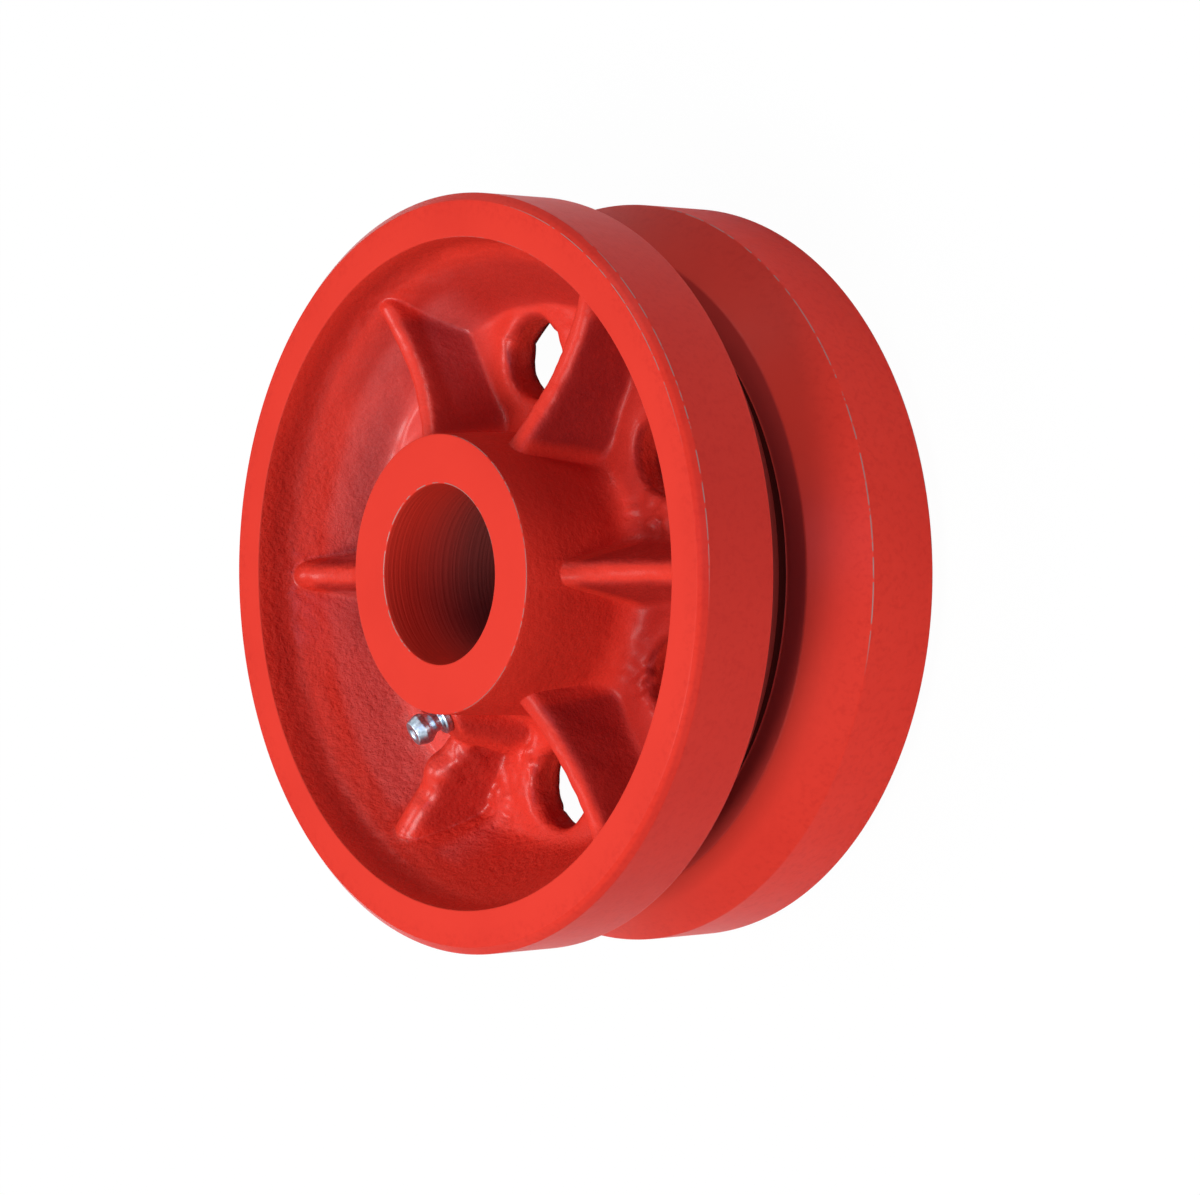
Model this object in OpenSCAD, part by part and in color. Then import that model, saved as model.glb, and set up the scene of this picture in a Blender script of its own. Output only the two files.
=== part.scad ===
// V-groove track wheel: a ribbed iron casting with turned tread, groove and bore,
// and a grease fitting pressed into the root of one rib.
// Millimetres. +Z runs along the bore, the origin is the bore's centre.

/* [Tread and groove] */

// Diameter over the flat treads
tread_dia = 152.4; // [100:0.1:300]
// Width of the rim from face to face
rim_width = 61.4; // [40:0.1:120]
// Leg of the 45 degree chamfer on both rim edges
edge_chamfer = 1.6; // [0.5:0.1:4]
// Width of the groove where it meets the tread
groove_width = 26.2; // [14:0.1:50]
// Included angle of the groove walls
groove_angle = 95; // [80:1:110]
// Depth of the groove walls below the tread
groove_depth = 8.7; // [4:0.1:20]
// Depth of the relief slot below the groove walls
slot_depth = 5.6; // [2:0.1:12]

/* [Hub and bore] */

// Length of the hub, which stands proud of both rim faces
hub_length = 67.5; // [45:0.1:140]
// Diameter of the hub at its machined faces
hub_dia = 56.2; // [40:0.1:110]
// Draft of the cast hub wall, in degrees
hub_draft = 2; // [0:0.5:5]
// Diameter of the bore
bore_dia = 36.16; // [20:0.01:70]
// Chamfer at both mouths of the bore
bore_chamfer = 0.5; // [0.2:0.1:2]
// Chamfer round the hub faces
hub_chamfer = 0.4; // [0.2:0.1:2]

/* [Web] */

// Thickness of the web between hub and rim
web_thick = 7.6; // [5:0.1:16]
// How far the middle of the web lies in front of the groove's middle
web_offset = 2; // [0:0.1:5]
// Thickness of the rim at its front face
rim_thick = 8.9; // [5:0.1:20]
// Thickness of the rim at its back face
back_rim_thick = 6.6; // [5:0.1:20]
// Depth of the steep rim wall behind a rim face
wall_depth = 6.4; // [3:0.1:14]
// Draft of the steep rim wall, in degrees
wall_draft = 6; // [1:1:12]
// Slope of the cone between rim wall and web, in degrees
cone_slope = 59; // [40:1:70]
// Radius of the fillet between hub and web
hub_fillet = 6.5; // [2:0.1:12]
// Radius of the fillet between web and cone
web_fillet = 4; // [1:0.1:8]
// Radius of the fillet between cone and rim wall
wall_fillet = 3; // [1:0.1:8]

/* [Ribs] */

// Number of ribs on the front face
rib_count = 6; // [4:1:8]
// Radius of the hollow curve that the rib crests follow
crest_radius = 49.5; // [35:0.5:90]
// Distance from the wheel's axis to the lowest point of a crest
crest_dip_r = 52.5; // [40:0.5:90]
// Distance of that point from the groove's middle plane
crest_dip_z = 19.3; // [12:0.1:40]
// Width of the rounded crest
crest_width = 5; // [3:0.1:10]
// Draft of the rib flanks, in degrees
rib_draft = 10; // [2:1:15]
// Height above the web at which the foot of a rib starts to flare
foot_height = 2.5; // [1:0.1:6]
// Slope of the flared foot of a rib from its middle plane, in degrees
foot_slope = 38; // [30:1:55]
// How much the ribs rise or drop across the wheel, from a shifted core
core_shift = 1.6; // [0:0.1:2]

/* [Cored holes] */

// Diameter of the holes through the web, one in each bay
hole_dia = 16.4; // [10:0.1:40]
// Distance of the hole centres from the wheel's axis
hole_r = 44; // [35:0.1:90]
// Radius of the rounded lips of the holes
hole_lip = 2; // [1:0.1:4]
// How far the holes came out turned from the middle of the bays, in degrees
hole_turn = 2; // [-3:0.5:3]

/* [Grease fitting] */

// Bearing of the rib that carries the fitting, in degrees
fitting_bearing = 240; // [0:60:300]
// Distance of the seat from the wheel's axis
seat_r = 33.6; // [30:0.1:60]
// Distance of the seat from the groove's middle plane
seat_z = 19.3; // [12:0.1:40]
// Lean of the fitting away from the wheel's axis, in degrees
fitting_lean = 32; // [20:1:45]
// Diameter of the cast boss under the seat
boss_dia = 12; // [9:0.1:20]
// Diameter of the fitting's head
head_dia = 6.5; // [5:0.1:9]
// Diameter of the flat end of the head
tip_dia = 4.9; // [3.5:0.1:7]
// Diameter of the neck behind the head
neck_dia = 4.2; // [3.4:0.1:6]
// Diameter of the collar that rests on the seat
collar_dia = 6.9; // [5:0.1:10]
// Diameter of the pressed shank
shank_dia = 5.6; // [4:0.1:7]
// Height of the fitting above its seat
fitting_height = 8; // [6:0.1:14]
// Length of the pressed shank
shank_length = 5; // [3:0.1:8]
// Diameter of the drilled grease passage
passage_dia = 3; // [2:0.1:5]
// Diameter of the check ball
ball_dia = 2.4; // [1.6:0.1:3]
// Radial interference of the pressed shank
press = 0.02; // [0.01:0.01:0.05]
// Wire of the check ball's spring
wire_dia = 0.32; // [0.2:0.02:0.5]
// Turns of that spring
spring_turns = 4; // [3:1:8]

/* [Hidden] */

$fn = 96;
tread_r = tread_dia / 2;
half_rim = rim_width / 2;
half_hub = hub_length / 2;
half_groove = groove_width / 2;
slot_half = half_groove - groove_depth * tan(groove_angle / 2);
vee_r = tread_r - groove_depth;
slot_r = vee_r - slot_depth;
bore_r = bore_dia / 2;
hub_r = hub_dia / 2;
web_front = web_offset + web_thick / 2;
web_back = web_thick / 2 - web_offset;
wall_foot_z = half_rim - wall_depth;
bay = 360 / rib_count;
seat_at = [seat_r, 0, seat_z];
tip_hole_dia = ball_dia * 0.79;
chamber_dia = ball_dia + 0.3;
tip_wall = 0.5;
ball_depth = tip_wall + sqrt(ball_dia * ball_dia - tip_hole_dia * tip_hole_dia) / 2 + 0.02;
spring_ledge = 4.4;
spring_pitch_r = chamber_dia / 2 - wire_dia / 2 - 0.12;
spring_top = ball_depth + sqrt(pow((ball_dia + wire_dia) / 2, 2) - pow(spring_pitch_r, 2)) + 0.02;
steel = [0.72, 0.75, 0.8];
red = [0.85, 0.16, 0.11];

// Radii where the steep wall of a rim of this thickness ends, and where the cone meets the web.
function wall_foot_r(rim) = tread_r - rim - wall_depth * tan(wall_draft);
function cone_foot_r(web_z, rim) = wall_foot_r(rim) - (wall_foot_z - web_z) / tan(cone_slope);
// Radius where the drafted wall of the hub meets the web.
function hub_root_r(web_z) = hub_r + (half_hub - web_z) * tan(hub_draft);

// Points of a fillet of radius r in the corner p, from the edge that leaves p at angle b
// to the edge that leaves it at angle a.
function fillet(p, a, b, r, steps) =
    let (
        turn = 180 - b + a,
        reach = r / tan((b - a) / 2),
        centre = p + r / sin((b - a) / 2) * [cos((a + b) / 2), sin((a + b) / 2)],
        from_b = p + reach * [cos(b), sin(b)] - centre,
        from_a = p + reach * [cos(a), sin(a)] - centre
    )
    [
        for (k = [0 : steps])
            centre + (from_b * sin((1 - k / steps) * turn) + from_a * sin(k / steps * turn)) / sin(turn)
    ];

// Half of the wheel's section from the groove's middle to one face, in radius and height.
module face_section(web_z, rim)
{
    polygon(concat(
        [
            [bore_r, -1],
            [bore_r, half_hub - bore_chamfer],
            [bore_r + bore_chamfer, half_hub],
            [hub_r - hub_chamfer, half_hub],
            [hub_r, half_hub - hub_chamfer]
        ],
        fillet([hub_root_r(web_z), web_z], 0, 90 + hub_draft, hub_fillet, 5),
        fillet([cone_foot_r(web_z, rim), web_z], cone_slope, 180, web_fillet, 3),
        fillet([wall_foot_r(rim), wall_foot_z], 90 - wall_draft, 180 + cone_slope, wall_fillet, 3),
        [
            [tread_r - rim, half_rim],
            [tread_r - edge_chamfer, half_rim],
            [tread_r, half_rim - edge_chamfer],
            [tread_r, half_groove],
            [vee_r, slot_half],
            [slot_r, slot_half],
            [slot_r, -1]
        ]
    ));
}

module turned_body()
{
    rotate_extrude()
    {
        face_section(web_front, rim_thick);
        mirror([0, 1]) face_section(web_back, back_rim_thick);
    }
}

// Half width of a rib at distance q from the centre of its crest curve.
function flank(q) = crest_width / 2 / cos(rib_draft)
    + (q - crest_radius - crest_width / 2) * tan(rib_draft);

// One rib on the front face, pointing along +X: a drafted wall revolved about the centre
// of its hollow crest, so that crest, flanks and flared foot are true curves.
module rib(web_z)
{
    deep = crest_radius + 24;
    bead = crest_width / 2;
    round_q = crest_radius + bead * (1 - sin(rib_draft));
    centre_z = crest_dip_z + crest_radius;
    foot_q = centre_z - web_z - foot_height;
    wide = flank(foot_q) + (deep - foot_q) * tan(foot_slope);
    intersection()
    {
        translate([crest_dip_r, 0, centre_z]) rotate([90, 0, 0]) rotate_extrude($fn = 180)
        {
            polygon([
                [round_q, -bead * cos(rib_draft)],
                [foot_q, -flank(foot_q)],
                [deep, -wide],
                [deep, wide],
                [foot_q, flank(foot_q)],
                [round_q, bead * cos(rib_draft)]
            ]);
            translate([crest_radius + bead, 0]) circle(r = bead, $fn = 48);
        }
        rotate([90, 0, 0]) linear_extrude(40, center = true) polygon([
            [hub_r - 1.5, web_z - 1.2],
            [cone_foot_r(web_z, rim_thick) + 2, web_z - 1.2],
            [wall_foot_r(rim_thick), wall_foot_z - 2],
            [wall_foot_r(rim_thick), wall_foot_z + 2],
            [hub_r - 1.5, wall_foot_z + 4]
        ]);
    }
}

// A hole with rounded lips, its axis along Z, through a web between the two heights.
module lipped_hole(low_z, high_z)
{
    r = hole_dia / 2;
    out_r = r + hole_lip;
    over = 0.15 * hole_lip;
    rotate_extrude() difference()
    {
        translate([0, low_z - 12]) square([out_r, high_z - low_z + 24]);
        translate([r, low_z + hole_lip - over]) square([hole_lip + 1, high_z - low_z - 2 * hole_lip + 2 * over]);
        translate([out_r, high_z - hole_lip + over]) circle(r = hole_lip, $fn = 48);
        translate([out_r, low_z + hole_lip - over]) circle(r = hole_lip, $fn = 48);
    }
}

// Carries its children to the fitting's seat, with +Z along the fitting.
module at_seat()
{
    rotate([0, 0, fitting_bearing]) translate(seat_at) rotate([0, fitting_lean, 0]) children();
}

module wheel_casting()
{
    color(red) difference()
    {
        union()
        {
            turned_body();
            for (k = [0 : rib_count - 1]) rotate([0, 0, k * bay])
                translate([0, 0, core_shift * sin(k * bay)]) rib(web_front - core_shift * sin(k * bay));
            at_seat() translate([0, 0, -14]) cylinder(d = boss_dia, h = 14);
        }
        for (k = [0 : rib_count - 1]) rotate([0, 0, (k + 0.5) * bay + hole_turn])
            translate([hole_r, 0, 0]) lipped_hole(-web_back, web_front);
        at_seat() cylinder(d = boss_dia + 1, h = 12);
        at_seat() translate([0, 0, -shank_length - 0.5]) cylinder(d = shank_dia, h = shank_length + 1);
        at_seat() translate([0, 0, -34]) cylinder(d = passage_dia, h = 35);
    }
}

module grease_fitting_body()
{
    top = fitting_height;
    color(steel) at_seat() rotate_extrude($fn = 64) polygon([
        [chamber_dia / 2 - 0.5, -shank_length],
        [shank_dia / 2 + press - 0.4, -shank_length],
        [shank_dia / 2 + press, -shank_length + 0.6],
        [shank_dia / 2 + press, 0],
        [collar_dia / 2 - 0.2, 0],
        [collar_dia / 2, 0.3],
        [collar_dia / 2, 1.4],
        [collar_dia / 2 - 0.3, 1.7],
        [neck_dia / 2, 2],
        [neck_dia / 2, 3.3],
        [head_dia / 2, 5.1],
        [head_dia / 2, 6.1],
        [tip_dia / 2 + 0.15, top - 0.15],
        [tip_dia / 2, top],
        [tip_hole_dia / 2 + 0.4, top],
        [tip_hole_dia / 2, top - 0.3],
        [tip_hole_dia / 2, top - tip_wall],
        [chamber_dia / 2, top - tip_wall - (chamber_dia - tip_hole_dia) / 2],
        [chamber_dia / 2, top - spring_ledge],
        [chamber_dia / 2 - 0.5, top - spring_ledge]
    ]);
}

module check_ball()
{
    color(steel) at_seat() translate([0, 0, fitting_height - ball_depth]) sphere(d = ball_dia, $fn = 48);
}

// One ring of the spring's wire at turn t, as points round the wire.
function wire_ring(t, low, rise, sides) = [
    for (s = [0 : sides - 1])
        let (
            a = 360 * t,
            q = spring_pitch_r + wire_dia / 2 * cos(360 * s / sides),
            z = low + rise * t / spring_turns + wire_dia / 2 * sin(360 * s / sides)
        )
        [q * cos(a), q * sin(a), z]
];

module check_spring()
{
    steps = 20 * spring_turns;
    sides = 8;
    low = fitting_height - spring_ledge + wire_dia / 2 + 0.01;
    rise = fitting_height - spring_top - low;
    points = [for (i = [0 : steps]) each wire_ring(i / 20, low, rise, sides)];
    skin = [
        for (i = [0 : steps - 1], s = [0 : sides - 1])
            [i * sides + s, i * sides + (s + 1) % sides,
             (i + 1) * sides + (s + 1) % sides, (i + 1) * sides + s]
    ];
    first = [for (s = [sides - 1 : -1 : 0]) s];
    last = [for (s = [0 : sides - 1]) steps * sides + s];
    color(steel) at_seat() polyhedron(points, concat([first], [last], [for (f = skin) [f[3], f[2], f[1], f[0]]]));
}

wheel_casting();
grease_fitting_body();
check_ball();
check_spring();
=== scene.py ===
import math
import bpy
import numpy as np
from mathutils import Matrix, Vector


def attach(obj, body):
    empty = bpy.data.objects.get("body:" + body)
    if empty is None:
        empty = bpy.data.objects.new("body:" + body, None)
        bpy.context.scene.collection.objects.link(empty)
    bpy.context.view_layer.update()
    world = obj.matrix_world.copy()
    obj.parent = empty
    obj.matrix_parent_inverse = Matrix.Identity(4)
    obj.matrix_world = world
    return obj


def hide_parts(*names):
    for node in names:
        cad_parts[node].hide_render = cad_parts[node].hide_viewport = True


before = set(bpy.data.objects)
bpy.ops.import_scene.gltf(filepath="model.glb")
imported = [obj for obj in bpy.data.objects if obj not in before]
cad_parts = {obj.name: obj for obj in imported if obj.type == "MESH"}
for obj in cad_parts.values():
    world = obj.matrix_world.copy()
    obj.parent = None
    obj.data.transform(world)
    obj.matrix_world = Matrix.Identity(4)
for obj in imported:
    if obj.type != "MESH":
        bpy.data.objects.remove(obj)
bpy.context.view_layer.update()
mm = 0.001
bay = math.pi / 3


def meshPiece(name, points, faces, closed=True, smooth=True):
    # points in millimetres, faces as arrays of vertex numbers; a closed surface is turned to face outward
    if closed:
        volume = 0
        for rows in faces:
            for k in range(1, rows.shape[1] - 1):
                a, b, c = points[rows[:, 0]], points[rows[:, k]], points[rows[:, k + 1]]
                volume += np.sum(a * np.cross(b, c))
        if volume < 0:
            faces = [rows[:, ::-1] for rows in faces]
    mesh = bpy.data.meshes.new(name)
    mesh.from_pydata((points * mm).tolist(), [], [face for rows in faces for face in rows.tolist()])
    mesh.update()
    mesh.polygons.foreach_set("use_smooth", np.full(len(mesh.polygons), smooth))
    piece = bpy.data.objects.new(name, mesh)
    bpy.context.scene.collection.objects.link(piece)
    return piece


def around(angle, r, z):
    # x = r cos a, y = r sin a, z as it is
    return np.stack([r * np.cos(angle), r * np.sin(angle), z + 0 * angle], -1)


def softCorners(corners, support=0.5):
    # a polyline whose corners (r, z, radius) become short arcs with a support point on either side
    out = []
    for k, (r, z, size) in enumerate(corners):
        here = np.array([r, z])
        if size == 0:
            out.append(here)
            continue
        before = np.array(corners[k - 1][:2]) - here
        after = np.array(corners[(k + 1) % len(corners)][:2]) - here
        before, after = before / np.linalg.norm(before), after / np.linalg.norm(after)
        out.append(here + before * (size + support))
        for t in (0, 0.25, 0.5, 0.75, 1):
            out.append(here + before * size * (1 - t) ** 2 + after * size * t ** 2)
        out.append(here + after * (size + support))
    return np.array(out)


def lathe(name, profile, seat, columns, poles=False):
    # a profile (radius, height) turned about the seat's axis;
    # it closes on itself, or with poles its two ends are single points on the axis
    ends = profile[[0, -1]]
    if poles:
        profile = profile[1:-1]
    turn = np.linspace(0, 2 * math.pi, columns, endpoint=False)
    local = around(turn, profile[:, 0][:, None], profile[:, 1][:, None]).reshape(-1, 3)
    rows = len(profile) - (1 if poles else 0)
    i, j = np.meshgrid(np.arange(rows), np.arange(columns), indexing="ij")
    i2, j2 = (i + 1) % len(profile), (j + 1) % columns
    faces = [np.stack([i * columns + j, i * columns + j2, i2 * columns + j2, i2 * columns + j], -1).reshape(-1, 4)]
    if poles:
        first = np.arange(columns)
        last = first + (len(profile) - 1) * columns
        local = np.concatenate([local, [[0, 0, ends[0, 1]], [0, 0, ends[1, 1]]]])
        faces.append(np.stack([0 * first + len(local) - 2, np.roll(first, -1), first], -1))
        faces.append(np.stack([0 * first + len(local) - 1, last, np.roll(last, -1)], -1))
    return meshPiece(name, local @ seat[:3, :3].T + seat[:3, 3], faces)


def waves(points, length, count, seed):
    # smooth seeded noise: a sum of plane waves about as long as length, scaled to about -1 .. 1
    rng = np.random.default_rng(seed)
    way = rng.normal(size=(count, 3))
    way *= (rng.uniform(0.7, 1.5, count) / length / np.linalg.norm(way, axis=1))[:, None] * 2 * math.pi
    total = 0
    for k in range(count):
        total = total + np.sin(points @ way[k] + rng.uniform(0, 6.28))
    return total * 1.6 / math.sqrt(count)


def ease(x):
    # 0 below 0, 1 above 1, with a soft start and end: x squared times (3 - 2x)
    x = np.clip(x, 0, 1)
    return x * x * (3 - 2 * x)


def ramp(x, start, width):
    # from 0 at start to 1 at start + width; a negative width rises the other way
    return ease((x - start) / width)


def smoothMax(a, b, blend):
    # the higher of two surfaces with a fillet about as wide as blend where they meet
    h = np.clip(0.5 + 0.5 * (a - b) / blend, 0, 1)
    return b + (a - b) * h + blend * h * (1 - h)


def softTable(x, places, values, width):
    # straight lines between the table's values, rounded by averaging over width
    return sum(np.interp(x + width * t, places, values) for t in (-0.5, -0.25, 0, 0.25, 0.5)) / 5


# the iron casting in millimetres and degrees: turned parts and their edges, then the cast web, ribs and holes;
# a pair holds front and back, and tiltOver, tiltUnder and blendOver are a start and a width of a ramp
casting = {
    "treadR": 76.2, "halfRim": 30.7, "chamfer": 1.6, "halfGroove": 13.1, "veeR": 67.5, "slotR": 61.9, "slotHalf": 3.61,
    "rimEdge": 0.25, "chamferEdge": 0.15, "grooveEdge": 0.2, "veeEdge": 0.25, "slotEdge": 0.3, "hubEdge": 0.35,
    "boreEdge": 0.4, "boreR": 18.08, "hubR": 28.1, "halfHub": 33.75, "hubDraft": 2, "hubFillet": 6.5,
    "web": (5.8, 1.8), "webBlend": 2.6, "recessR": (67.3, 69.6), "wallR": (66.63, 68.93), "wallZ": 24.3,
    "coneSlope": 59, "wallSoft": 2.2, "tilt": 0.033, "tiltOver": (29, 4), "tiltUnder": (66, -8),
    "ribs": 6, "crestRadius": 49.5, "dipR": 52.5, "dipZ": 19.3, "bead": (2.8, 2.8, 2.7, 3.0, 3.8, 2.8), "ribDraft": 12,
    "liftAt": (30, 46, 63), "liftSoft": 12,
    "crestLift": ((0.6, 0.1, 0.4), (1.0, 1.5, 1.2), (0.9, 1.8, 2.6), (0.6, 1.6, 2.2), (0, 0, 0), (-1.4, -0.6, -1.9)),
    "noseR": 63.2, "footBlend": 4.5, "noseBlend": 2.0, "blendOver": (54, 6), "ribZone": 16, "farBelow": -50,
    "holeR": 44, "holeRadius": 8.2, "holeTurn": 2, "lip": 1.5, "pillow": 0.45, "pillowWidth": 2.6,
}
# the rib under the fitting came out of a damaged mould: its crest by distance from the axis, a sideways shift
# of its outer part, and a nose that ends earlier
roughRib = {
    "number": 4, "soft": 2.4, "shift": 1.4, "shiftOver": (40, 10), "nose": 1.6, "blendShare": 0.5,
    "crest": ([28, 33, 36, 39.4, 44.3, 46.8, 48.6, 55, 60.5, 64, 70],
              [19.5, 18.4, 15.6, 14.6, 15.6, 16.9, 16.5, 17.2, 18.6, 20.3, 22.5]),
}
seatPlace = {"bearing": 240, "r": 33.6, "z": 19.3, "lean": 32, "bossR": 5.8, "bossSlope": 3.2, "bossBlend": 3.0,
             "flatInset": 0.6, "from": 20}
# the net of faces: lines beside a rib, columns between two ribs, rows over fillet, web and cone, the block of faces
# that a hole takes, and how far the lines round a hole are warped (mm)
net = {
    "sideLines": (0, .6, 1.2, 1.7, 2.1, 2.46, 2.8, 3.2, 3.6, 4.0, 4.4, 4.9, 5.4, 6.0, 6.7, 7.6, 8.6), "lastLine": 9.6,
    "columns": 30, "filletRows": 9, "webStep": 0.64, "webRows": (-13, 17),
    "coneRows": (54.9, 55.5, 56.1, 56.8, 57.5, 58.3, 59.1, 59.9, 60.7, 61.5, 62.2, 62.8, 63.4, 63.9, 64.3, 64.65,
                 64.95, 65.2, 65.4, 65.5),
    "halfRows": 10, "halfCols": 8, "fade": 7.0, "pull": 0.8, "warp": 9, "widenFrom": 53, "settleRows": 8,
    "tubeSteps": (0.2, 0.4, 0.6, 0.8),
}

seatLean, seatBearing = math.radians(seatPlace["lean"]), math.radians(seatPlace["bearing"])
seat = np.array(Matrix.Rotation(seatBearing, 4, "Z") @ Matrix.Translation((seatPlace["r"], 0, seatPlace["z"]))
                @ Matrix.Rotation(seatLean, 4, "Y"))
seatAxis, seatOrigin = seat[:3, 2], seat[:3, 3]


def hubFoot(side):
    # radius at which the hub's drafted wall meets its fillet; side 0 is the front, 1 the back
    c = casting
    return c["hubR"] + (c["halfHub"] - c["web"][side] - c["hubFillet"]) * math.tan(math.radians(c["hubDraft"]))


def baseHeight(r, side):
    # hub fillet, flat web and cone as one height over the radius; the fillet stops just short of upright
    c = casting
    depth = np.clip(hubFoot(side) + c["hubFillet"] - r, 0, c["hubFillet"] * 0.9995)
    hub = c["web"][side] + c["hubFillet"] - np.sqrt(c["hubFillet"] ** 2 - depth ** 2)
    cone = c["wallZ"] - (c["wallR"][side] - r) * math.tan(math.radians(c["coneSlope"]))
    return smoothMax(hub, cone, c["webBlend"])


def ribHeight(along, across, k):
    # a hollow crest with a rounded top and steep drafted flanks, that ends like a finger where it meets the cone
    c = casting
    bead = c["bead"][k]
    nose = along - c["noseR"]
    if k == roughRib["number"]:
        across = across + roughRib["shift"] * ramp(along, *roughRib["shiftOver"])
        nose = nose + roughRib["nose"]
        crest = softTable(along, *roughRib["crest"], roughRib["soft"])
    else:
        hollow = np.sqrt(np.clip(c["crestRadius"] ** 2 - (along - c["dipR"]) ** 2, 1, None))
        crest = c["dipZ"] + c["crestRadius"] - hollow + softTable(along, c["liftAt"], c["crestLift"][k], c["liftSoft"])
    draft = math.radians(c["ribDraft"])
    edge = bead * math.cos(draft)
    s = np.hypot(across, np.clip(nose, 0, None))
    top = crest - bead + np.sqrt(bead ** 2 - np.clip(s, 0, edge) ** 2)
    return top - np.clip(s - edge, 0, None) / math.tan(draft)


def acrossRib(x, y, bearing):
    # distances along a bearing and square to it
    return x * math.cos(bearing) + y * math.sin(bearing), -x * math.sin(bearing) + y * math.cos(bearing)


def recessHeight(x, y, side):
    # the cast face between hub and rim as a height over the groove's middle plane
    c = casting
    r = np.hypot(x, y)
    tilt = c["tilt"] * y * ramp(r, *c["tiltOver"]) * ramp(r, *c["tiltUnder"]) * (1 - 2 * side)
    height = baseHeight(r, side) + tilt
    for k in range(c["ribs"] if side == 0 else 0):
        along, across = acrossRib(x, y, k * bay)
        near = (along > 0) & (np.abs(across) < c["ribZone"])
        blend = c["footBlend"] + (c["noseBlend"] - c["footBlend"]) * ramp(along, *c["blendOver"])
        if k == roughRib["number"]:
            blend = blend * roughRib["blendShare"]
        rib = np.where(near, ribHeight(along, across, k), c["farBelow"])
        height = np.where(near, smoothMax(height, rib, blend), height)
    if side == 0:
        s = seatPlace
        along, across = acrossRib(x, y, seatBearing)
        near = along > s["from"]
        plane = s["z"] - math.tan(seatLean) * (along - s["r"])
        reach = np.hypot((along - s["r"]) / math.cos(seatLean), across)
        boss = plane - np.clip(reach - s["bossR"], 0, None) * s["bossSlope"]
        height = np.where(near, smoothMax(height, np.where(near, boss, c["farBelow"]), s["bossBlend"]), height)
        height = np.where((reach < s["bossR"] - s["flatInset"]) & near, np.minimum(height, plane), height)
    for k in range(c["ribs"]):
        turn = math.radians(30 + 60 * k + c["holeTurn"])
        d = np.hypot(x - c["holeR"] * math.cos(turn), y - c["holeR"] * math.sin(turn)) - c["holeRadius"]
        height = height + c["pillow"] * np.exp(-((d - c["pillowWidth"]) / c["pillowWidth"]) ** 2)
        sink = c["lip"] - np.sqrt(np.clip(c["lip"] ** 2 - (c["lip"] - np.clip(d, 0, c["lip"])) ** 2, 0, None))
        floor = c["web"][side] + tilt - c["lip"]
        height = np.where(d < c["lip"], height - sink * (height - floor) / c["lip"], height)
    return height


def sectionRows():
    # radii of the grid's rows over the cast face: hub fillet, web with the holes, cone
    c = casting
    bend = np.radians(np.linspace(86, 6, net["filletRows"]))
    fillet = hubFoot(0) + c["hubFillet"] * (1 - np.sin(bend))
    web = c["holeR"] + net["webStep"] * np.arange(*net["webRows"])
    return np.concatenate([fillet, web, np.array(net["coneRows"])])


def wallProfile(side):
    # from the cone through a soft bend up the rim's steep wall, as points (r, z)
    c = casting
    corner = np.array([c["wallR"][side], c["wallZ"]])
    slope = math.radians(c["coneSlope"])
    top = np.array([c["recessR"][side], c["halfRim"] - c["rimEdge"]])
    up = (top - corner) / np.linalg.norm(top - corner)
    down = -np.array([math.cos(slope), math.sin(slope)])
    t = np.linspace(0, 1, 9)[:, None]
    bend = corner + c["wallSoft"] * (down * (1 - t) ** 2 + up * t ** 2)
    return np.concatenate([bend, bend[-1] + (top - bend[-1]) * np.array([[0.35], [0.7], [1.0]])])


def ribColumns(r):
    # angles of the grid's columns at each radius: lines beside the ribs' middle planes, evenly spread between them
    near = np.clip(r, hubFoot(0), net["coneRows"][-1])[:, None]
    zone = net["lastLine"] / near
    sideLines = np.array(net["sideLines"])
    middle = np.linspace(0, 1, net["columns"] + 1)[1:-1]
    first = sideLines[None] / near
    mid = zone + np.concatenate([[0], middle, [1]])[None] * (bay - 2 * zone)
    last = bay - sideLines[None, :0:-1] / near
    one = np.concatenate([first, mid, last], 1)
    return (one[:, None, :] + (np.arange(casting["ribs"]) * bay)[None, :, None]).reshape(len(r), -1), one.shape[1]


def holeBlock(flat, angles, perBay, k):
    # the block of faces that hole k takes out of the grid, with the lines round it warped onto the hole's circle
    c = casting
    rowMid = net["filletRows"] - net["webRows"][0]
    turn = bay * (k + 0.5) + math.radians(c["holeTurn"])
    centre = c["holeR"] * np.array([math.cos(turn), math.sin(turn)])
    colMid = k * perBay + int(np.argmin(np.abs(angles[rowMid, k * perBay:(k + 1) * perBay] - turn)))
    i0, i1 = rowMid - net["halfRows"], rowMid + net["halfRows"]
    j0, j1 = colMid - net["halfCols"], colMid + net["halfCols"]
    loop = ([(i0, j) for j in range(j0, j1)] + [(i, j1) for i in range(i0, i1)]
            + [(i1, j) for j in range(j1, j0, -1)] + [(i, j0) for i in range(i1, i0, -1)])
    loop = np.array(loop)
    rim = flat[loop[:, 0], loop[:, 1]] - centre
    phi, dist = np.arctan2(rim[:, 1], rim[:, 0]), np.hypot(rim[:, 0], rim[:, 1])
    order = np.argsort(phi)
    away = flat - centre
    d, p = np.hypot(away[..., 0], away[..., 1]), np.arctan2(away[..., 1], away[..., 0])
    edge = np.interp(p, phi[order], dist[order], period=2 * math.pi)
    t = np.clip(d - edge, 0, None)
    fade = (1 - np.clip(t / net["fade"], 0, 1)) ** 2
    pull = net["pull"] * t / (t + net["pull"]) * (1 - ease(t / net["warp"]))
    moved = d + (c["holeRadius"] - edge) * fade - pull
    near = (t < net["warp"])[..., None]
    flat = np.where(near, centre + away * (moved / np.maximum(d, 1e-9))[..., None], flat)
    return flat, (i0, i1, j0, j1, loop)


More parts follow.
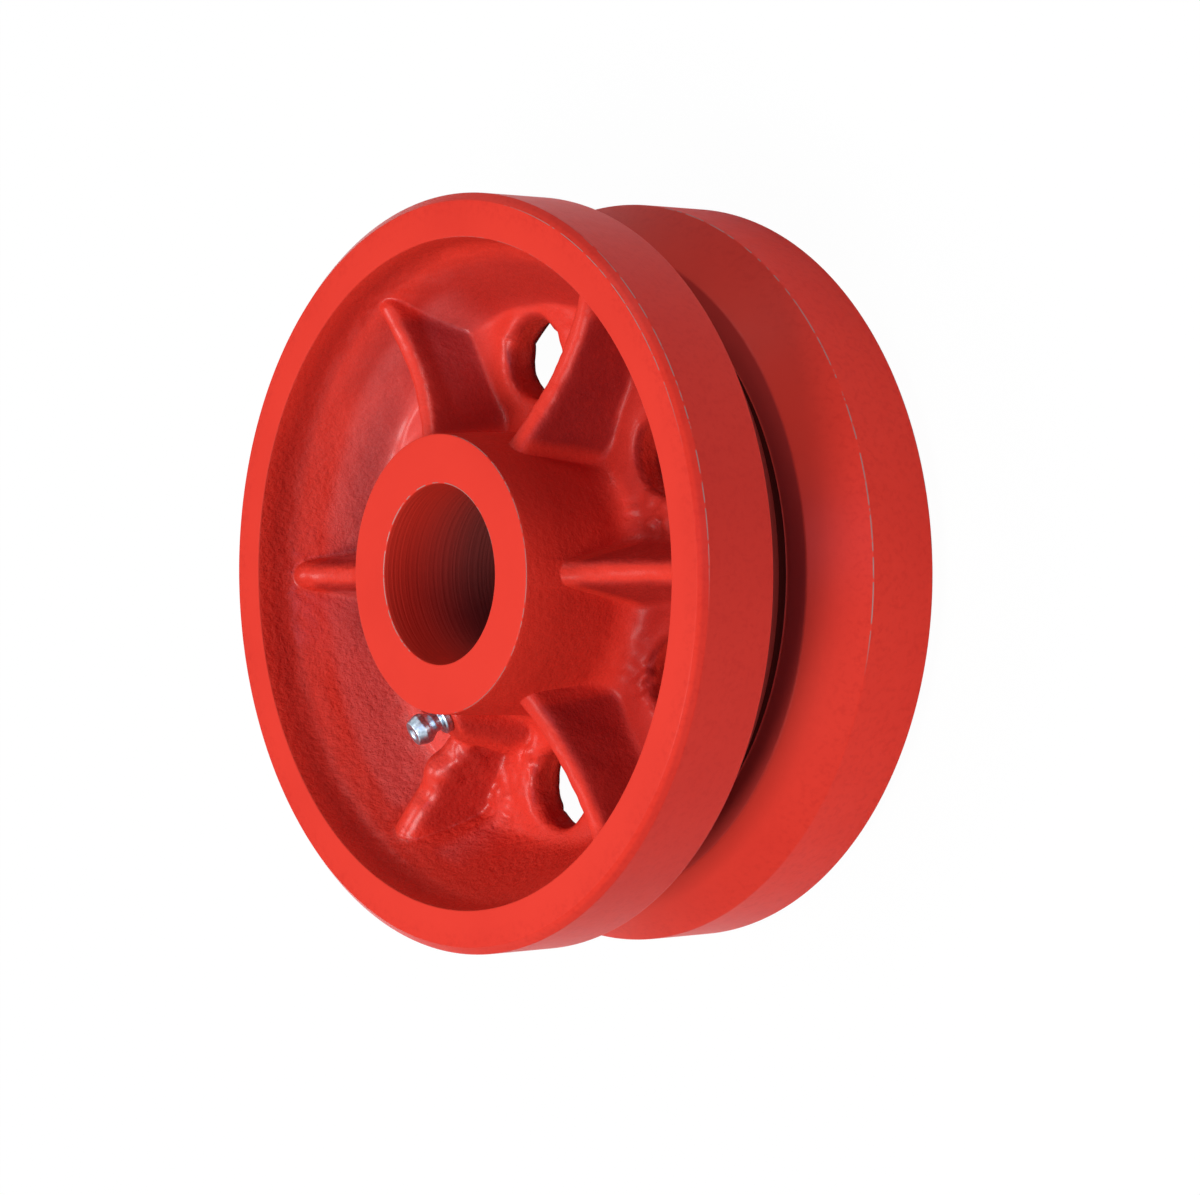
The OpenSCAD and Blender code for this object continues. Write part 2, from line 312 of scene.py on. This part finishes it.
def rimRows(places, sheet, side):
    # the rim's wall over the cast face's last row, which it joins with what the ribs add there
    profile = wallProfile(side)
    x, y = places[-1, :, 0], places[-1, :, 1]
    a, r = np.arctan2(y, x), np.hypot(x, y)
    out = []
    for k, (wallR, wallZ) in enumerate(profile[1:]):
        stay = 1 - ease((k + 1) / net["settleRows"])
        newZ = wallZ + (sheet[-1] - profile[0, 1]) * stay
        out.append(around(a, wallR + (r - profile[0, 0]) * stay, newZ * (1 - 2 * side)))
    return out


def hubRows(places, sheet, side):
    # the hub's drafted wall from the cast face's first row up to the machined end
    c = casting
    x, y = places[0, :, 0], places[0, :, 1]
    a, r = np.arctan2(y, x), np.hypot(x, y)
    out = []
    for t in ease(np.linspace(0, 1, net["settleRows"] + 1))[1:]:
        newZ = sheet[0] * (1 - t) + (c["halfHub"] - c["hubEdge"]) * t
        out.append(around(a, r * (1 - t) + c["hubR"] * t, newZ * (1 - 2 * side)))
    return out


def castingGrid():
    # u runs round the whole section, v round the axis; near a rib v follows lines beside the rib's middle plane
    c = casting
    recess = sectionRows()
    angles, perBay = ribColumns(recess)
    flat = np.stack([recess[:, None] * np.cos(angles), recess[:, None] * np.sin(angles)], -1)
    blocks = []
    for k in range(c["ribs"]):
        flat, block = holeBlock(flat, angles, perBay, k)
        blocks.append(block)

    rest = np.hypot(flat[..., 0], flat[..., 1])
    widening = ease((rest - net["widenFrom"]) / (recess[-1] - net["widenFrom"]))
    flatBack = flat * (1 + (c["wallR"][1] - c["wallR"][0]) * widening / rest)[..., None]
    front = recessHeight(flat[..., 0], flat[..., 1], 0)
    back = recessHeight(flatBack[..., 0], flatBack[..., 1], 1)

    half = [
        (c["treadR"] - c["chamfer"], c["halfRim"], c["chamferEdge"]),
        (c["treadR"], c["halfRim"] - c["chamfer"], c["chamferEdge"]),
        (c["treadR"], c["halfGroove"], c["grooveEdge"]), (c["veeR"], c["slotHalf"], c["veeEdge"]),
        (c["slotR"], c["slotHalf"], c["slotEdge"])]
    otherHalf = [(r, -z, size) for r, z, size in half[::-1]]
    machined = softCorners([(c["recessR"][0], c["halfRim"], c["rimEdge"])] + half + otherHalf
                           + [(c["recessR"][1], -c["halfRim"], c["rimEdge"])])[3:-3]
    hub = softCorners([
        (c["hubR"], -c["halfHub"], c["hubEdge"]), (c["boreR"], -c["halfHub"], c["boreEdge"]),
        (c["boreR"], c["halfHub"], c["boreEdge"]), (c["hubR"], c["halfHub"], c["hubEdge"])])[3:-3]

    def ring(r, z):
        return around(ribColumns(np.array([r]))[0][0], r, z)

    count = len(recess)
    grid = [np.concatenate([flat[i], front[i][:, None]], -1) for i in range(count)]
    grid += rimRows(flat, front, 0)
    grid += [ring(r, z) for r, z in machined]
    grid += rimRows(flatBack, back, 1)[::-1]
    backStart = len(grid)
    grid += [np.concatenate([flatBack[i], -back[i][:, None]], -1) for i in range(count - 1, -1, -1)]
    grid += hubRows(flatBack, back, 1)
    grid += [ring(r, z) for r, z in hub]
    grid += hubRows(flat, front, 0)[::-1]
    return np.array(grid), blocks, count, backStart


# the mould's swell and grain: height and length in millimetres, number of waves and seed
grain = ((0.06, 16, 22, 3), (0.04, 6, 26, 5), (0.026, 2.8, 30, 8))
# flaws of the mould that the light picks out: place, reach and height in millimetres, length of their bumps
flaws = [
    (-29.6, -49.2, 17.5, 3.6, 0.8, 0), (-25.6, -41.2, 16.3, 3.0, 0.9, 0), (-28.2, -45.2, 16.5, 2.0, -0.9, 0),
    (-17.0, -39.5, 8.0, 6.5, 0.5, 4.5), (-10.0, -36.0, 6.0, 6.0, 0.45, 4.0), (-19.0, -50.5, 5.0, 6.5, 0.28, 2.6),
    (33.0, 10.5, 7.0, 4.5, 0.55, 3.2), (-59.7, 7.5, 13.7, 1.6, -0.5, 0), (29.0, -21.4, 5.4, 5.0, 0.35, 3.5),
    (-42.0, -30.0, 7.0, 14.0, 0.10, 3.2),
]


def roughCast(points, normals, cast):
    # swell and grain of the sand mould and its local flaws, along the surface's own normal
    amount = 0
    for high, length, count, seed in grain:
        amount = amount + high * waves(points, length, count, seed)
    for k, (x, y, z, reach, high, length) in enumerate(flaws):
        near = np.exp(-np.sum((points - (x, y, z)) ** 2, -1) / reach ** 2)
        amount = amount + high * near * (waves(points, length, 24, 20 + k) if length else 1)
    return points + normals * (amount * cast)[:, None]


def gridNormals(grid):
    # square to the two grid directions
    du = np.roll(grid, -1, 0) - np.roll(grid, 1, 0)
    dv = np.roll(grid, -1, 1) - np.roll(grid, 1, 1)
    n = np.cross(du, dv)
    return n / np.maximum(np.linalg.norm(n, axis=-1, keepdims=True), 1e-9)


def paintedShadeMask(points, normals):
    # painted shade, a share of dark red: flanks that face the right, the web there and the cone above, and parts of the
    # level ribs' sides, the hub's root and the rim's wall on the left
    x, y, z = np.moveaxis(points, -1, 0)
    towardX, towardY = normals[..., 0], normals[..., 1]
    r = np.hypot(x, y)
    onRib = ramp(r, 62, -4)
    inside = ramp(r, 30, 3) * ramp(r, 66, -4) * (z > 0)
    rough = ramp(x, -2, -6) * ramp(y, -12, -8)
    flank = (0.76 - 0.2 * towardY) * ramp(towardX, 0.42, 0.4) * onRib * (1 - 0.5 * rough)
    web = (0.55 - 0.1 * ease(y / 10 + 0.5)) * ramp(x, 10, 20) * ramp(z, 15, -4)
    cone = 0.5 * ramp(y, 30, 15) * ramp(-towardY, 0.2, 0.4)
    bar = 0.6 * ramp(np.abs(towardY), 0.35, 0.4) * ramp(np.abs(y), 8.5, -3.5) * onRib
    hub = 0.3 * ramp(towardY, 0.1, 0.5) * ramp(r, 36, -4) * ramp(x, -6, 12) * ramp(r, 27.5, 0.5) * (z > 0)
    wall = 0.3 * ramp(r, 64.8, 1.2) * ramp(r, 67.2, -0.4) * ramp(x, 0, -30) * (z > 18)
    return np.maximum(inside * np.max([flank, web, cone, bar], 0), np.maximum(hub, wall))


# limits of the rough cast faces in millimetres: hub wall, rim wall, hub end, slot, groove, and the fitting's seat
castLimits = {"hubR": 27, "hubOver": (27.9, 1.2), "rimGap": 0.05, "rimSoft": 0.1, "rimWidth": -0.8, "endOver": (33.3, -1.5),
              "slotR": 61, "slotHigh": 5, "grooveR": 66.9, "grooveHigh": 14.5, "seatR": 4.6, "seatWidth": 2.5, "seatZ": 5}


def castShare(grid):
    # 1 on the cast faces and 0 on the turned ones and round the fitting
    c = castLimits
    r, z = np.hypot(grid[..., 0], grid[..., 1]), grid[..., 2]
    rimR = np.where(z > 0, casting["recessR"][0], casting["recessR"][1])
    high = np.abs(z)
    share = ramp(r, *c["hubOver"]) * ramp(r, rimR - c["rimSoft"], c["rimWidth"]) * ramp(high, *c["endOver"])
    share = share * ((r > c["hubR"]) & (r < rimR - c["rimGap"]) & ~((r > c["slotR"]) & (high < c["slotHigh"]))
                     & ~((r > c["grooveR"]) & (high < c["grooveHigh"])))
    reach = np.linalg.norm(np.cross(grid - seatOrigin, seatAxis), axis=-1)
    return share * ease((reach - c["seatR"]) / c["seatWidth"] + (z < c["seatZ"]) * 1.0)


def makeCasting():
    # the grid with its six blocks of faces left out, and a tube from front to back in each
    grid, blocks, count, backStart = castingGrid()
    nu, nv = grid.shape[:2]
    outward = gridNormals(grid)
    outward = outward * np.sign(np.sum(outward[backStart // 2] * grid[backStart // 2]))
    # painted shade: a share for each point, which the mesh carries as an attribute
    shadeShare = paintedShadeMask(grid, outward).reshape(-1)
    points = roughCast(grid.reshape(-1, 3), outward.reshape(-1, 3), castShare(grid).reshape(-1))
    i, j = np.meshgrid(np.arange(nu), np.arange(nv), indexing="ij")
    keep = np.ones((nu, nv), bool)

    def number(row, column):
        return row * nv + column % nv

    extra, quads = [], []
    total = nu * nv
    lastBack = backStart + count - 1
    for i0, i1, j0, j1, loop in blocks:
        keep[i0:i1, j0:j1] = False
        keep[lastBack - i1:lastBack - i0, j0:j1] = False
        top = number(loop[:, 0], loop[:, 1])
        low = number(lastBack - loop[:, 0], loop[:, 1])
        rings = [top]
        for t in net["tubeSteps"]:
            extra.append(points[top] * (1 - t) + points[low] * t)
            rings.append(total + np.arange(len(loop)))
            total += len(loop)
        rings.append(low)
        for upper, lower in zip(rings[:-1], rings[1:]):
            quads.append(np.stack([upper, lower, np.roll(lower, -1), np.roll(upper, -1)], -1))
    body = np.stack([number(i, j), number((i + 1) % nu, j), number((i + 1) % nu, j + 1), number(i, j + 1)], -1)[keep]
    used = np.concatenate([body] + quads)
    every = np.concatenate([points] + extra)
    alive = np.zeros(len(every), bool)
    alive[used] = True
    renumber = np.cumsum(alive) - 1
    piece = meshPiece("castWheel", every[alive], [renumber[used]])
    paintedShade = piece.data.attributes.new("shadeShare", "FLOAT", "POINT")
    paintedShade.data.foreach_set("value", np.concatenate([shadeShare, np.zeros(len(every) - len(shadeShare))])[alive])
    return piece


print("casting")
wheel = makeCasting()
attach(wheel, "wheel")
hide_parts("wheel_casting")

# the grease fitting, by height over its seat: base is its lower end, and chamberDepth is measured down from the mouth
fitting = {"headR": 3.25, "tipR": 2.45, "neckR": 2.1, "collarR": 3.45, "shankR": 2.78, "height": 8, "mouthR": 0.948,
           "chamberR": 1.35, "passageR": 0.85, "base": -5, "chamberDepth": 4.4}


def makeFitting():
    # a closed section turned about the seat's axis: shank, collar, neck, head and the chamber for ball and spring
    f = fitting
    top, floor = f["height"], f["height"] - f["chamberDepth"]
    corners = [
        (f["passageR"], f["base"], 0.1), (f["shankR"] - 0.4, f["base"], 0.1), (f["shankR"], -4.4, 0.1),
        (f["shankR"], 0, 0), (f["collarR"] - 0.2, 0, 0), (f["collarR"], 0.3, 0.08), (f["collarR"], 1.4, 0.1),
        (f["collarR"] - 0.3, 1.7, 0.08), (f["neckR"], 2, 0.25), (f["neckR"], 3.3, 0.3), (f["headR"], 5.1, 0.12),
        (f["headR"], 6.1, 0.12), (f["tipR"] + 0.15, top - 0.15, 0.08), (f["tipR"], top, 0.06),
        (f["mouthR"] + 0.4, top, 0.06), (f["mouthR"], top - 0.3, 0.06), (f["mouthR"], top - 0.5, 0.03),
        (f["chamberR"], top - 0.9, 0.05), (f["chamberR"], floor, 0.05), (f["passageR"], floor, 0.05)]
    return lathe("greaseFitting", softCorners(corners, 0.02), seat, 96)


print("fitting")
nipple = makeFitting()
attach(nipple, "wheel")
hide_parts("grease_fitting_body")

ballSize = {"radius": 1.2, "depth": 1.2588}


def makeBall():
    # a circle's half turned about its own diameter
    turn = np.linspace(0, math.pi, 33)
    profile = np.stack([np.sin(turn), -np.cos(turn)], -1) * ballSize["radius"]
    return lathe("checkBall", profile + [0, fitting["height"] - ballSize["depth"]], seat, 48, poles=True)


ball = makeBall()
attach(ball, "ball")
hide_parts("check_ball")


class Value:
    # wraps a socket so that expressions add Math nodes
    def __init__(self, maker, socket):
        self.maker, self.socket = maker, socket

    def math(self, operation, other=None):
        return self.maker.node("ShaderNodeMath", {"operation": operation}, {0: self, 1: other})

    def __add__(self, other):
        return self.math("ADD", other)

    def __sub__(self, other):
        return self.math("SUBTRACT", other)

    def __mul__(self, other):
        return self.math("MULTIPLY", other)

    def __truediv__(self, other):
        return self.math("DIVIDE", other)

    __radd__, __rmul__ = __add__, __mul__

    def __rsub__(self, other):
        return self.math("MULTIPLY", -1).math("ADD", other)

    def __or__(self, other):
        return self.math("MAXIMUM", other)

    def root(self):
        return self.math("SQRT")

    def output(self, name):
        # another output of the node that this socket belongs to
        return Value(self.maker, self.socket.node.outputs[name])

    def smooth(self, low, high):
        # 0 below low, 1 above high; low may be the larger
        return self.maker.node("ShaderNodeMapRange", {"interpolation_type": "SMOOTHSTEP"},
                               {"Value": self, "From Min": low, "From Max": high})


class Finish:
    # adds nodes to one tree, which is a material's or the world's
    def __init__(self, tree, material=None):
        self.tree, self.material = tree, material
        tree.nodes.clear()

    def node(self, kind, settings, inputs, output=0):
        made = self.tree.nodes.new(kind)
        for key, value in settings.items():
            setattr(made, key, value)
        for key, value in inputs.items():
            if isinstance(value, Value):
                self.tree.links.new(value.socket, made.inputs[key])
            elif value is not None:
                made.inputs[key].default_value = value
        return Value(self, made.outputs[output]) if len(made.outputs) else None

    def mix(self, mask, a, b):
        return self.node("ShaderNodeMix", {"data_type": "RGBA"}, {0: mask, 6: a, 7: b}, 2)

    def noise(self, place, scale, detail=3, rough=0.5):
        return self.node("ShaderNodeTexNoise", {}, {"Vector": place, "Scale": scale, "Detail": detail, "Roughness": rough})

    def lines(self, along, scale):
        # noise in one direction only, as a turning tool leaves it
        return self.node("ShaderNodeTexNoise", {"noise_dimensions": "1D"}, {"W": along, "Scale": scale, "Detail": 1})

    def bump(self, height):
        # height in millimetres
        return self.node("ShaderNodeBump", {}, {"Strength": 1.0, "Distance": mm, "Height": height})

    def place(self):
        return self.node("ShaderNodeTexCoord", {}, {}, 3)

    def split(self, place):
        return (Value(self, s) for s in self.node("ShaderNodeSeparateXYZ", {}, {0: place}).socket.node.outputs)

    def shade(self, inputs):
        surface = self.node("ShaderNodeBsdfPrincipled", {}, inputs)
        self.node("ShaderNodeOutputMaterial", {}, {"Surface": surface})
        return self.material


def newFinish(name):
    material = bpy.data.materials.new(name)
    material.use_nodes = True
    return Finish(material.node_tree, material)


# red enamel over cast iron: colours, roughness of each turned face, heights of the relief in millimetres
enamel = {
    "red": (0.64, 0.036, 0.021, 1), "deep": (0.53, 0.024, 0.015, 1), "paintedShade": (0.22, 0.012, 0.012, 1),
    "paintedSheen": (0.62, 0.12, 0.11, 1), "bare": (0.20, 0.19, 0.175, 1), "slotShade": (0.016, 0.003, 0.003, 1),
    "flank": (0.07, 0.008, 0.007, 1), "slotWallLit": (0.85, 0.07, 0.055, 1), "boreDeep": (0.22, 0.042, 0.036, 1),
    "castRough": 0.42, "faceRough": 0.36, "chamferRough": 0.2, "mottledRough": 0.08, "specular": 0.05,
    "sand": 0.34, "pits": 0.22, "fine": 0.06, "rings": 0.010, "boreRings": 0.08, "turnedFine": 0.02, "bareDepth": 0.02,
    "coatRough": 0.27, "coatIor": 1.95, "castCoat": 0.04, "leftCoat": 0.1, "grooveCoat": 0.05, "grooveSheen": 0.55,
}
# how much of a colour each mask lets through
shares = {"deep": 0.30, "tread": 0.28, "sand": 0.2, "glint": 0.35, "slotShade": 0.95, "bare": 0.85, "metal": 0.2}
# scales of the noises, per metre
scales = {"broad": 45, "middle": 260, "sand": 760, "fine": 2400, "rings": 1700, "chips": 420, "pits": 420}
# limits of the faces in millimetres, each a pair between which its mask goes from 0 to 1
limits = {
    "grooveR": (66.8, 67.0), "grooveHigh": (14.4, 14.2), "slotR": (61.0, 61.2), "slotHigh": (5, 4.8),
    "boreR": (18.7, 18.5), "rimHigh": (30.45, 30.6), "rimR": (60, 61), "treadR": (69.9, 70.1), "hubEnd": (33.4, 33.5),
    "chamferSum": (105.15, 105.25), "chamferR": (74.5, 74.6), "chamferHigh": (29.0, 29.1), "treadTop": (75, 75.6),
    "frontTread": (12.9, 13.1), "underTread": (13.1, 12.95), "slotZ": (-3.62, -3.4), "frontFlank": (3.4, 3.8),
    "slotWallR": (67.6, 67.3), "slotWallZ": (-3.4, -3.6), "boreZ": (31, 8),
}
# the window's direction, and the bearing (degrees) of the sheen on the chamfer and in the groove: it lies on the
# lower left, which the photo's view doesn't see, so the sheen that the photo has on the right is missing
windowX, windowY, sheenBearing = 0.997, 0.077, 210
# edges where the paint is worn to bare iron: radius, height, half width (mm), bearing and half span (degrees)
wornEdges = (
    (28.06, 33.71, 0.10, 0, 84), (18.28, 33.73, 0.09, 130, 120), (67.33, 30.68, 0.10, 72, 17), (74.6, 30.68, 0.07, 48, 28),
    (76.16, 29.1, 0.09, 28, 30), (76.16, -13.1, 0.11, 34, 48), (76.16, -29.1, 0.11, 20, 26), (18.28, -33.73, 0.09, 200, 90),
    (28.06, -33.71, 0.10, 90, 60), (69.65, -30.68, 0.10, 210, 40),
)


def makeEnamel():
    e = enamel
    f = newFinish("redEnamel")
    place = f.place()
    x, y, z = f.split(place)
    x, y, z = x * 1000, y * 1000, z * 1000
    r = (x * x + y * y).root()
    high = z.math("ABSOLUTE")

    def within(value, name):
        return value.smooth(*limits[name])

    def facing(alongX, alongY):
        # cosine of the angle between a place's bearing and a direction
        return (x * alongX + y * alongY) / r

    groove = within(r, "grooveR") * within(high, "grooveHigh") | within(r, "slotR") * within(high, "slotHigh")
    bore = within(r, "boreR")
    rimFace = within(high, "rimHigh") * within(r, "rimR")
    turned = rimFace | within(r, "treadR") | groove | within(high, "hubEnd") | bore
    cast = 1 - turned
    chamfer = within(r + high, "chamferSum") * within(r, "chamferR") * within(high, "chamferHigh")

    broad = f.noise(place, scales["broad"])
    middle = f.noise(place, scales["middle"])
    sand = f.noise(place, scales["sand"], 4, 0.6)
    fine = f.noise(place, scales["fine"], 3, 0.6)
    # the sand is coarser on the lower left of the recess
    coarse = 0.7 + 1.0 * (y * -0.8 - x).smooth(10, 60) * z.smooth(0, 4)
    rings = f.lines((r + high * 0.7) * mm, scales["rings"])
    colour = f.mix(broad.smooth(0.35, 0.75) * shares["deep"], e["red"], e["deep"])
    # painted shade: the mesh's share darkens the red towards a dark red
    shadeShare = f.node("ShaderNodeAttribute", {"attribute_name": "shadeShare"}, {}, 2)
    colour = f.mix(shadeShare * (0.85 + middle * 0.3), colour, e["paintedShade"])
    mottled = middle * 0.25 + sand.smooth(0.45, 0.7) * 0.5
    colour = f.mix(turned * r.smooth(69, 75) * mottled, colour, e["deep"])
    # painted shade: the front tread is darker on the side towards the window lamp
    towardWindow = facing(windowX, windowY).smooth(0.1, 0.6)
    frontTread = within(r, "treadTop") * within(z, "frontTread")
    colour = f.mix(frontTread * towardWindow * shares["tread"], colour, e["paintedShade"])
    colour = f.mix(cast * sand.smooth(0.50, 0.72) * coarse * shares["sand"], colour, e["deep"])
    # painted sheen: a lighter pinkish haze on the left of the web, apart from a strip beside the rib under the fitting
    beside = (x * 0.866 - y * 0.5).math("ABSOLUTE").smooth(6, 10) | y.smooth(-26, -18)
    sheenLeft = cast * (x * -1).smooth(12, 26) * beside * z.smooth(0, 4) * z.smooth(18, 15)
    colour = f.mix(sheenLeft * (0.15 + fine * 0.4), colour, e["paintedSheen"])
    # painted glints: small pinkish specks over the cast faces
    colour = f.mix(cast * fine.smooth(0.60, 0.78) * middle.smooth(0.45, 0.65) * shares["glint"], colour, e["paintedSheen"])
    # painted shade: the slot and the groove's front flank are darkened to near black and a very dark red
    inner = groove * within(high, "underTread")
    slot = inner * within(z, "slotZ")
    colour = f.mix(slot * shares["slotShade"], colour, f.mix(within(z, "frontFlank"), e["slotShade"], e["flank"]))
    # painted light: the slot's far wall is lighter than the red around it
    colour = f.mix(groove * within(r, "slotWallR") * within(z, "slotWallZ"), colour, e["slotWallLit"])
    # darker and greyer down the bore: painted shade, with thinner paint there as well
    colour = f.mix(bore * within(z, "boreZ"), colour, e["boreDeep"])

    chips = f.noise(place, scales["chips"], 2)
    bare = None
    for edgeR, edgeZ, width, bearing, span in wornEdges:
        distance = ((r - edgeR) * (r - edgeR) + (z - edgeZ) * (z - edgeZ)).root()
        toward = facing(math.cos(math.radians(bearing)), math.sin(math.radians(bearing)))
        limit = math.cos(math.radians(span))
        line = distance.smooth(width * 1.5, width * 0.7) * toward.smooth(limit - 0.04, limit + 0.1)
        bare = line if bare is None else bare | line
    bare = bare * chips.smooth(0.40, 0.50)
    colour = f.mix(bare * shares["bare"], colour, e["bare"])

    pits = f.noise(place, scales["pits"], 3, 0.6)
    castRelief = cast * (sand * coarse * e["sand"] + pits * coarse * e["pits"] + fine * e["fine"])
    relief = castRelief + turned * (rings * e["rings"] + fine * e["turnedFine"])
    relief = relief + bore * rings * e["boreRings"] - bare * e["bareDepth"]
    rough = e["faceRough"] + cast * (e["castRough"] - e["faceRough"]) + middle * e["mottledRough"]
    rough = rough + chamfer * (e["chamferRough"] - e["faceRough"])

    sheen = facing(math.cos(math.radians(sheenBearing)), math.sin(math.radians(sheenBearing)))
    coat = chamfer * sheen.smooth(0.957, 0.966) + cast * (e["castCoat"] + (x * -1).smooth(-5, 20) * e["leftCoat"])
    coat = coat + inner * (1 - slot) * (e["grooveCoat"] + sheen.smooth(0.84, 1.0) * e["grooveSheen"])
    return f.shade({"Base Color": colour, "Roughness": rough, "Normal": f.bump(relief), "Metallic": bare * shares["metal"],
                    "Specular IOR Level": e["specular"], "Coat Weight": coat, "Coat Roughness": e["coatRough"],
                    "Coat IOR": e["coatIor"]})


zinc = {"bright": (0.52, 0.62, 0.72, 1), "dull": (0.30, 0.38, 0.46, 1), "rough": 0.24, "mottledRough": 0.15,
        "relief": 0.008, "scale": 1400}


def makeZinc():
    f = newFinish("brightZinc")
    mottled = f.noise(f.place(), zinc["scale"], 4)
    colour = f.mix(mottled.smooth(0.35, 0.7), zinc["bright"], zinc["dull"])
    return f.shade({"Base Color": colour, "Metallic": 1.0, "Roughness": zinc["rough"] + mottled * zinc["mottledRough"],
                    "Normal": f.bump(mottled * zinc["relief"])})


# the two steels: light colour, dark colour, roughness
steels = {"ballSteel": ((0.75, 0.82, 0.95, 1), (0.6, 0.68, 0.8, 1), 0.08),
          "springSteel": ((0.42, 0.43, 0.45, 1), (0.3, 0.3, 0.32, 1), 0.25)}


def makeSteel(name):
    colour, dark, rough = steels[name]
    f = newFinish(name)
    mottled = f.noise(f.place(), 3000)
    return f.shade({"Base Color": f.mix(mottled, colour, dark), "Metallic": 1.0, "Roughness": rough + mottled * 0.1})


print("materials")


def paint(piece, material):
    piece.data.materials.clear()
    piece.data.materials.append(material)


paint(wheel, makeEnamel())
paint(nipple, makeZinc())
paint(ball, makeSteel("ballSteel"))
paint(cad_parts["check_spring"], makeSteel("springSteel"))

# fitted to the photo: place in millimetres, lens on a sensor 36 mm wide
camera = {"place": (580.923, 0.234, 478.699), "right": (0.64253, -0.00843, -0.76621), "up": (0, 0.99994, -0.0110),
          "lens": 109.82, "sensor": 36}
lens = bpy.data.cameras.new("camera")
lens.sensor_width, lens.lens = camera["sensor"], camera["lens"]
lens.clip_start, lens.clip_end = 0.01, 20
view = bpy.data.objects.new("camera", lens)
right, up = Vector(camera["right"]).normalized(), Vector(camera["up"]).normalized()
backward = right.cross(up).normalized()
up = backward.cross(right)
view.matrix_world = Matrix.Translation(Vector(camera["place"]) * mm) @ Matrix((right, up, backward)).transposed().to_4x4()
bpy.context.scene.collection.objects.link(view)
bpy.context.scene.camera = view

# name, bearing and height over the camera's own axis (degrees), width and height (m), watts, colour
lampDistance = 1.3
lamps = (
    ("keyLight", -34, -24, 0.5, 0.5, 13, (1, 1, 1)),
    ("leftLight", -76, -6, 0.5, 0.5, 7.5, (1, 1, 1)),
    ("rightLight", 40, -5, 0.5, 0.5, 5.6, (1, 1, 1)),
    ("topLight", -45, 52, 0.5, 0.5, 3.2, (1, 1, 1)),
    ("windowLight", -8, 6, 0.4, 1.2, 1.8, (0.8, 0.9, 1.6)),
)
for name, bearing, height, width, tall, watts, colour in lamps:
    light = bpy.data.lights.new(name, "AREA")
    light.shape, light.size, light.size_y, light.energy, light.color = "RECTANGLE", width, tall, watts, colour
    lamp = bpy.data.objects.new(name, light)
    a, b = math.radians(bearing), math.radians(height)
    where = right * math.sin(a) * math.cos(b) + up * math.sin(b) + backward * math.cos(a) * math.cos(b)
    where = lampDistance * where
    lamp.matrix_world = Matrix.Translation(where) @ where.to_track_quat("Z", "Y").to_matrix().to_4x4()
    bpy.context.scene.collection.objects.link(lamp)

# the world shows white to the camera and to mirror-like and see-through paths, and lights with a faint ambient
ambientStrength = 0.05
white = (1, 1, 1, 1)
world = bpy.data.worlds.new("world")
bpy.context.scene.world = world
world.use_nodes = True
w = Finish(world.node_tree)
path = w.node("ShaderNodeLightPath", {}, {})
cameraRay, glossyRay, throughRay = (path.output(k) for k in ("Is Camera Ray", "Is Glossy Ray", "Is Transmission Ray"))
seen = w.node("ShaderNodeBackground", {}, {"Color": white, "Strength": 1.0})
ambient = w.node("ShaderNodeBackground", {}, {"Color": white, "Strength": ambientStrength})
both = w.node("ShaderNodeMixShader", {}, {0: cameraRay | glossyRay | throughRay, 1: ambient, 2: seen})
w.node("ShaderNodeOutputWorld", {}, {"Surface": both})

# a pale floor under the hub's end, which glows white for the camera but for a small share that takes shadows
floorHalf, floorZ, glowShare = 6000, -casting["halfHub"], 0.98
floorPoints = np.array([[x * floorHalf, y * floorHalf, floorZ] for x, y in ((-1, -1), (1, -1), (1, 1), (-1, 1))], float)
floor = meshPiece("floor", floorPoints, [np.array([[0, 1, 2, 3]])], closed=False, smooth=False)
f = newFinish("paleFloor")
path = f.node("ShaderNodeLightPath", {}, {})
lit = f.node("ShaderNodeBsdfDiffuse", {}, {"Color": (0.9, 0.9, 0.9, 1)})
glow = f.node("ShaderNodeEmission", {}, {"Color": white, "Strength": 1.0})
both = f.node("ShaderNodeMixShader", {}, {0: path.output("Is Camera Ray") * glowShare, 1: lit, 2: glow})
f.node("ShaderNodeOutputMaterial", {}, {"Surface": both})
paint(floor, f.material)

bpy.context.scene.view_settings.view_transform = "Standard"
print("triangles", sum(len(p.vertices) - 2 for p in wheel.data.polygons))
